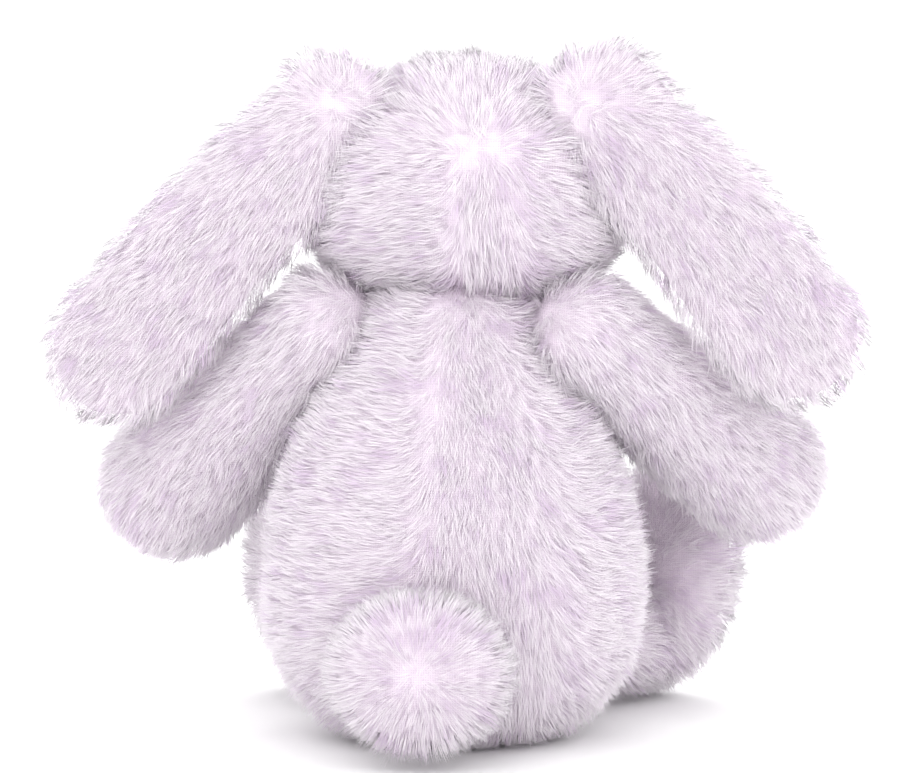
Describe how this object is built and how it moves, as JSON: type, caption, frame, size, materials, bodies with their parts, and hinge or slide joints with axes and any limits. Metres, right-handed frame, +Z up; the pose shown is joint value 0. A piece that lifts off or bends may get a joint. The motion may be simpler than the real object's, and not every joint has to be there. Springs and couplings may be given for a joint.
{
  "type": "plush rabbit",
  "caption": "Seated long-pile plush rabbit with drooping ears, jointed head, ears, arms, legs and round tail.",
  "frame": {"origin": "centre of the flat base disc that the rabbit sits on", "axes": "+Z up, -Y is the way the rabbit faces, +X is its own left side"},
  "size_m": [0.283, 0.2099, 0.234],
  "materials": {
    "long_pile": "matte",
    "short_pile": "matte",
    "stuffing": "matte",
    "seam_thread": "matte",
    "pink_thread": "matte",
    "eye_plastic": "gloss",
    "washer_plastic": "matte",
    "pouch_cloth": "matte",
    "pellets": "matte"
  },
  "bodies": {
    "torso": {"torso_back_panel_left": "long_pile", "torso_back_panel_right": "long_pile", "torso_belly_panel": "long_pile", "torso_base_disc": "long_pile", "torso_stuffing": "stuffing", "bean_pouch": "pouch_cloth", "bean_pellets": "pellets"},
    "neck_seam": {"neck_stitching": "seam_thread"},
    "head": {"head_gusset": "long_pile", "head_panel_left": "long_pile", "head_panel_right": "long_pile", "head_stuffing": "stuffing", "eye_left": "eye_plastic", "eye_right": "eye_plastic", "eye_washer_left": "washer_plastic", "eye_washer_right": "washer_plastic", "nose_stitching": "pink_thread", "mouth_stitching": "pink_thread"},
    "tail": {"tail_cover": "long_pile", "tail_stuffing": "stuffing", "tail_stitching": "seam_thread"},
    "ear_left_seam": {"ear_left_stitching": "seam_thread"},
    "ear_left": {"ear_left_back": "long_pile", "ear_left_lining": "short_pile", "ear_left_wadding": "stuffing"},
    "arm_left_seam": {"arm_left_stitching": "seam_thread"},
    "arm_left": {"arm_left_outer_panel": "long_pile", "arm_left_inner_panel": "long_pile", "arm_left_stuffing": "stuffing"},
    "leg_left_seam": {"leg_left_stitching": "seam_thread"},
    "leg_left": {"leg_left_upper_panel": "long_pile", "leg_left_lower_panel": "long_pile", "leg_left_sole_pad": "short_pile", "leg_left_stuffing": "stuffing"},
    "ear_right_seam": {"ear_right_stitching": "seam_thread"},
    "ear_right": {"ear_right_back": "long_pile", "ear_right_lining": "short_pile", "ear_right_wadding": "stuffing"},
    "arm_right_seam": {"arm_right_stitching": "seam_thread"},
    "arm_right": {"arm_right_outer_panel": "long_pile", "arm_right_inner_panel": "long_pile", "arm_right_stuffing": "stuffing"},
    "leg_right_seam": {"leg_right_stitching": "seam_thread"},
    "leg_right": {"leg_right_upper_panel": "long_pile", "leg_right_lower_panel": "long_pile", "leg_right_sole_pad": "short_pile", "leg_right_stuffing": "stuffing"}
  },
  "joints": [
    {"name": "head_turn", "type": "hinge", "parent": "torso", "child": "neck_seam", "pos_m": [0, 0, 0.132], "axis": [0, 0, 1], "range_deg": [-12, 12], "stiffness_Nm_per_rad": 0.25},
    {"name": "head_nod", "type": "hinge", "parent": "neck_seam", "child": "head", "pos_m": [0, 0, 0.132], "axis": [1, 0, 0], "range_deg": [-12, 12], "stiffness_Nm_per_rad": 0.25},
    {"name": "ear_left_swing", "type": "hinge", "parent": "head", "child": "ear_left_seam", "pos_m": [0.0515, 0.01, 0.211], "axis": [1, 0, 0], "range_deg": [-5, 30]},
    {"name": "ear_left_lift", "type": "hinge", "parent": "ear_left_seam", "child": "ear_left", "pos_m": [0.0515, 0.01, 0.211], "axis": [0, -1, 0], "range_deg": [0, 100]},
    {"name": "arm_left_swing", "type": "hinge", "parent": "torso", "child": "arm_left_seam", "pos_m": [0.055, -0.004, 0.124], "axis": [-1, 0, 0], "range_deg": [-5, 60]},
    {"name": "arm_left_raise", "type": "hinge", "parent": "arm_left_seam", "child": "arm_left", "pos_m": [0.055, -0.004, 0.124], "axis": [-0.5299, -0.848, 0], "range_deg": [0, 40]},
    {"name": "leg_left_swing", "type": "hinge", "parent": "torso", "child": "leg_left_seam", "pos_m": [0.033, -0.053, 0.025], "axis": [-1, 0, 0], "range_deg": [-70, 25]},
    {"name": "leg_left_splay", "type": "hinge", "parent": "leg_left_seam", "child": "leg_left", "pos_m": [0.033, -0.053, 0.025], "axis": [0, 0, 1], "range_deg": [-8, 15]},
    {"name": "ear_right_swing", "type": "hinge", "parent": "head", "child": "ear_right_seam", "pos_m": [-0.0595, 0.01, 0.211], "axis": [1, 0, 0], "range_deg": [-5, 30]},
    {"name": "ear_right_lift", "type": "hinge", "parent": "ear_right_seam", "child": "ear_right", "pos_m": [-0.0595, 0.01, 0.211], "axis": [0, 1, 0], "range_deg": [0, 100]},
    {"name": "arm_right_swing", "type": "hinge", "parent": "torso", "child": "arm_right_seam", "pos_m": [-0.055, -0.004, 0.124], "axis": [-1, 0, 0], "range_deg": [-5, 60]},
    {"name": "arm_right_raise", "type": "hinge", "parent": "arm_right_seam", "child": "arm_right", "pos_m": [-0.055, -0.004, 0.124], "axis": [-0.6691, 0.7431, 0], "range_deg": [0, 40]},
    {"name": "leg_right_swing", "type": "hinge", "parent": "torso", "child": "leg_right_seam", "pos_m": [-0.033, -0.053, 0.025], "axis": [-1, 0, 0], "range_deg": [-70, 25]},
    {"name": "leg_right_splay", "type": "hinge", "parent": "leg_right_seam", "child": "leg_right", "pos_m": [-0.033, -0.053, 0.025], "axis": [0, 0, -1], "range_deg": [-8, 15]},
    {"name": "tail_wag", "type": "hinge", "parent": "torso", "child": "tail", "pos_m": [0, 0.063, 0.033], "axis": [0, 0, 1], "range_deg": [-8, 8], "stiffness_Nm_per_rad": 0.02}
  ]
}
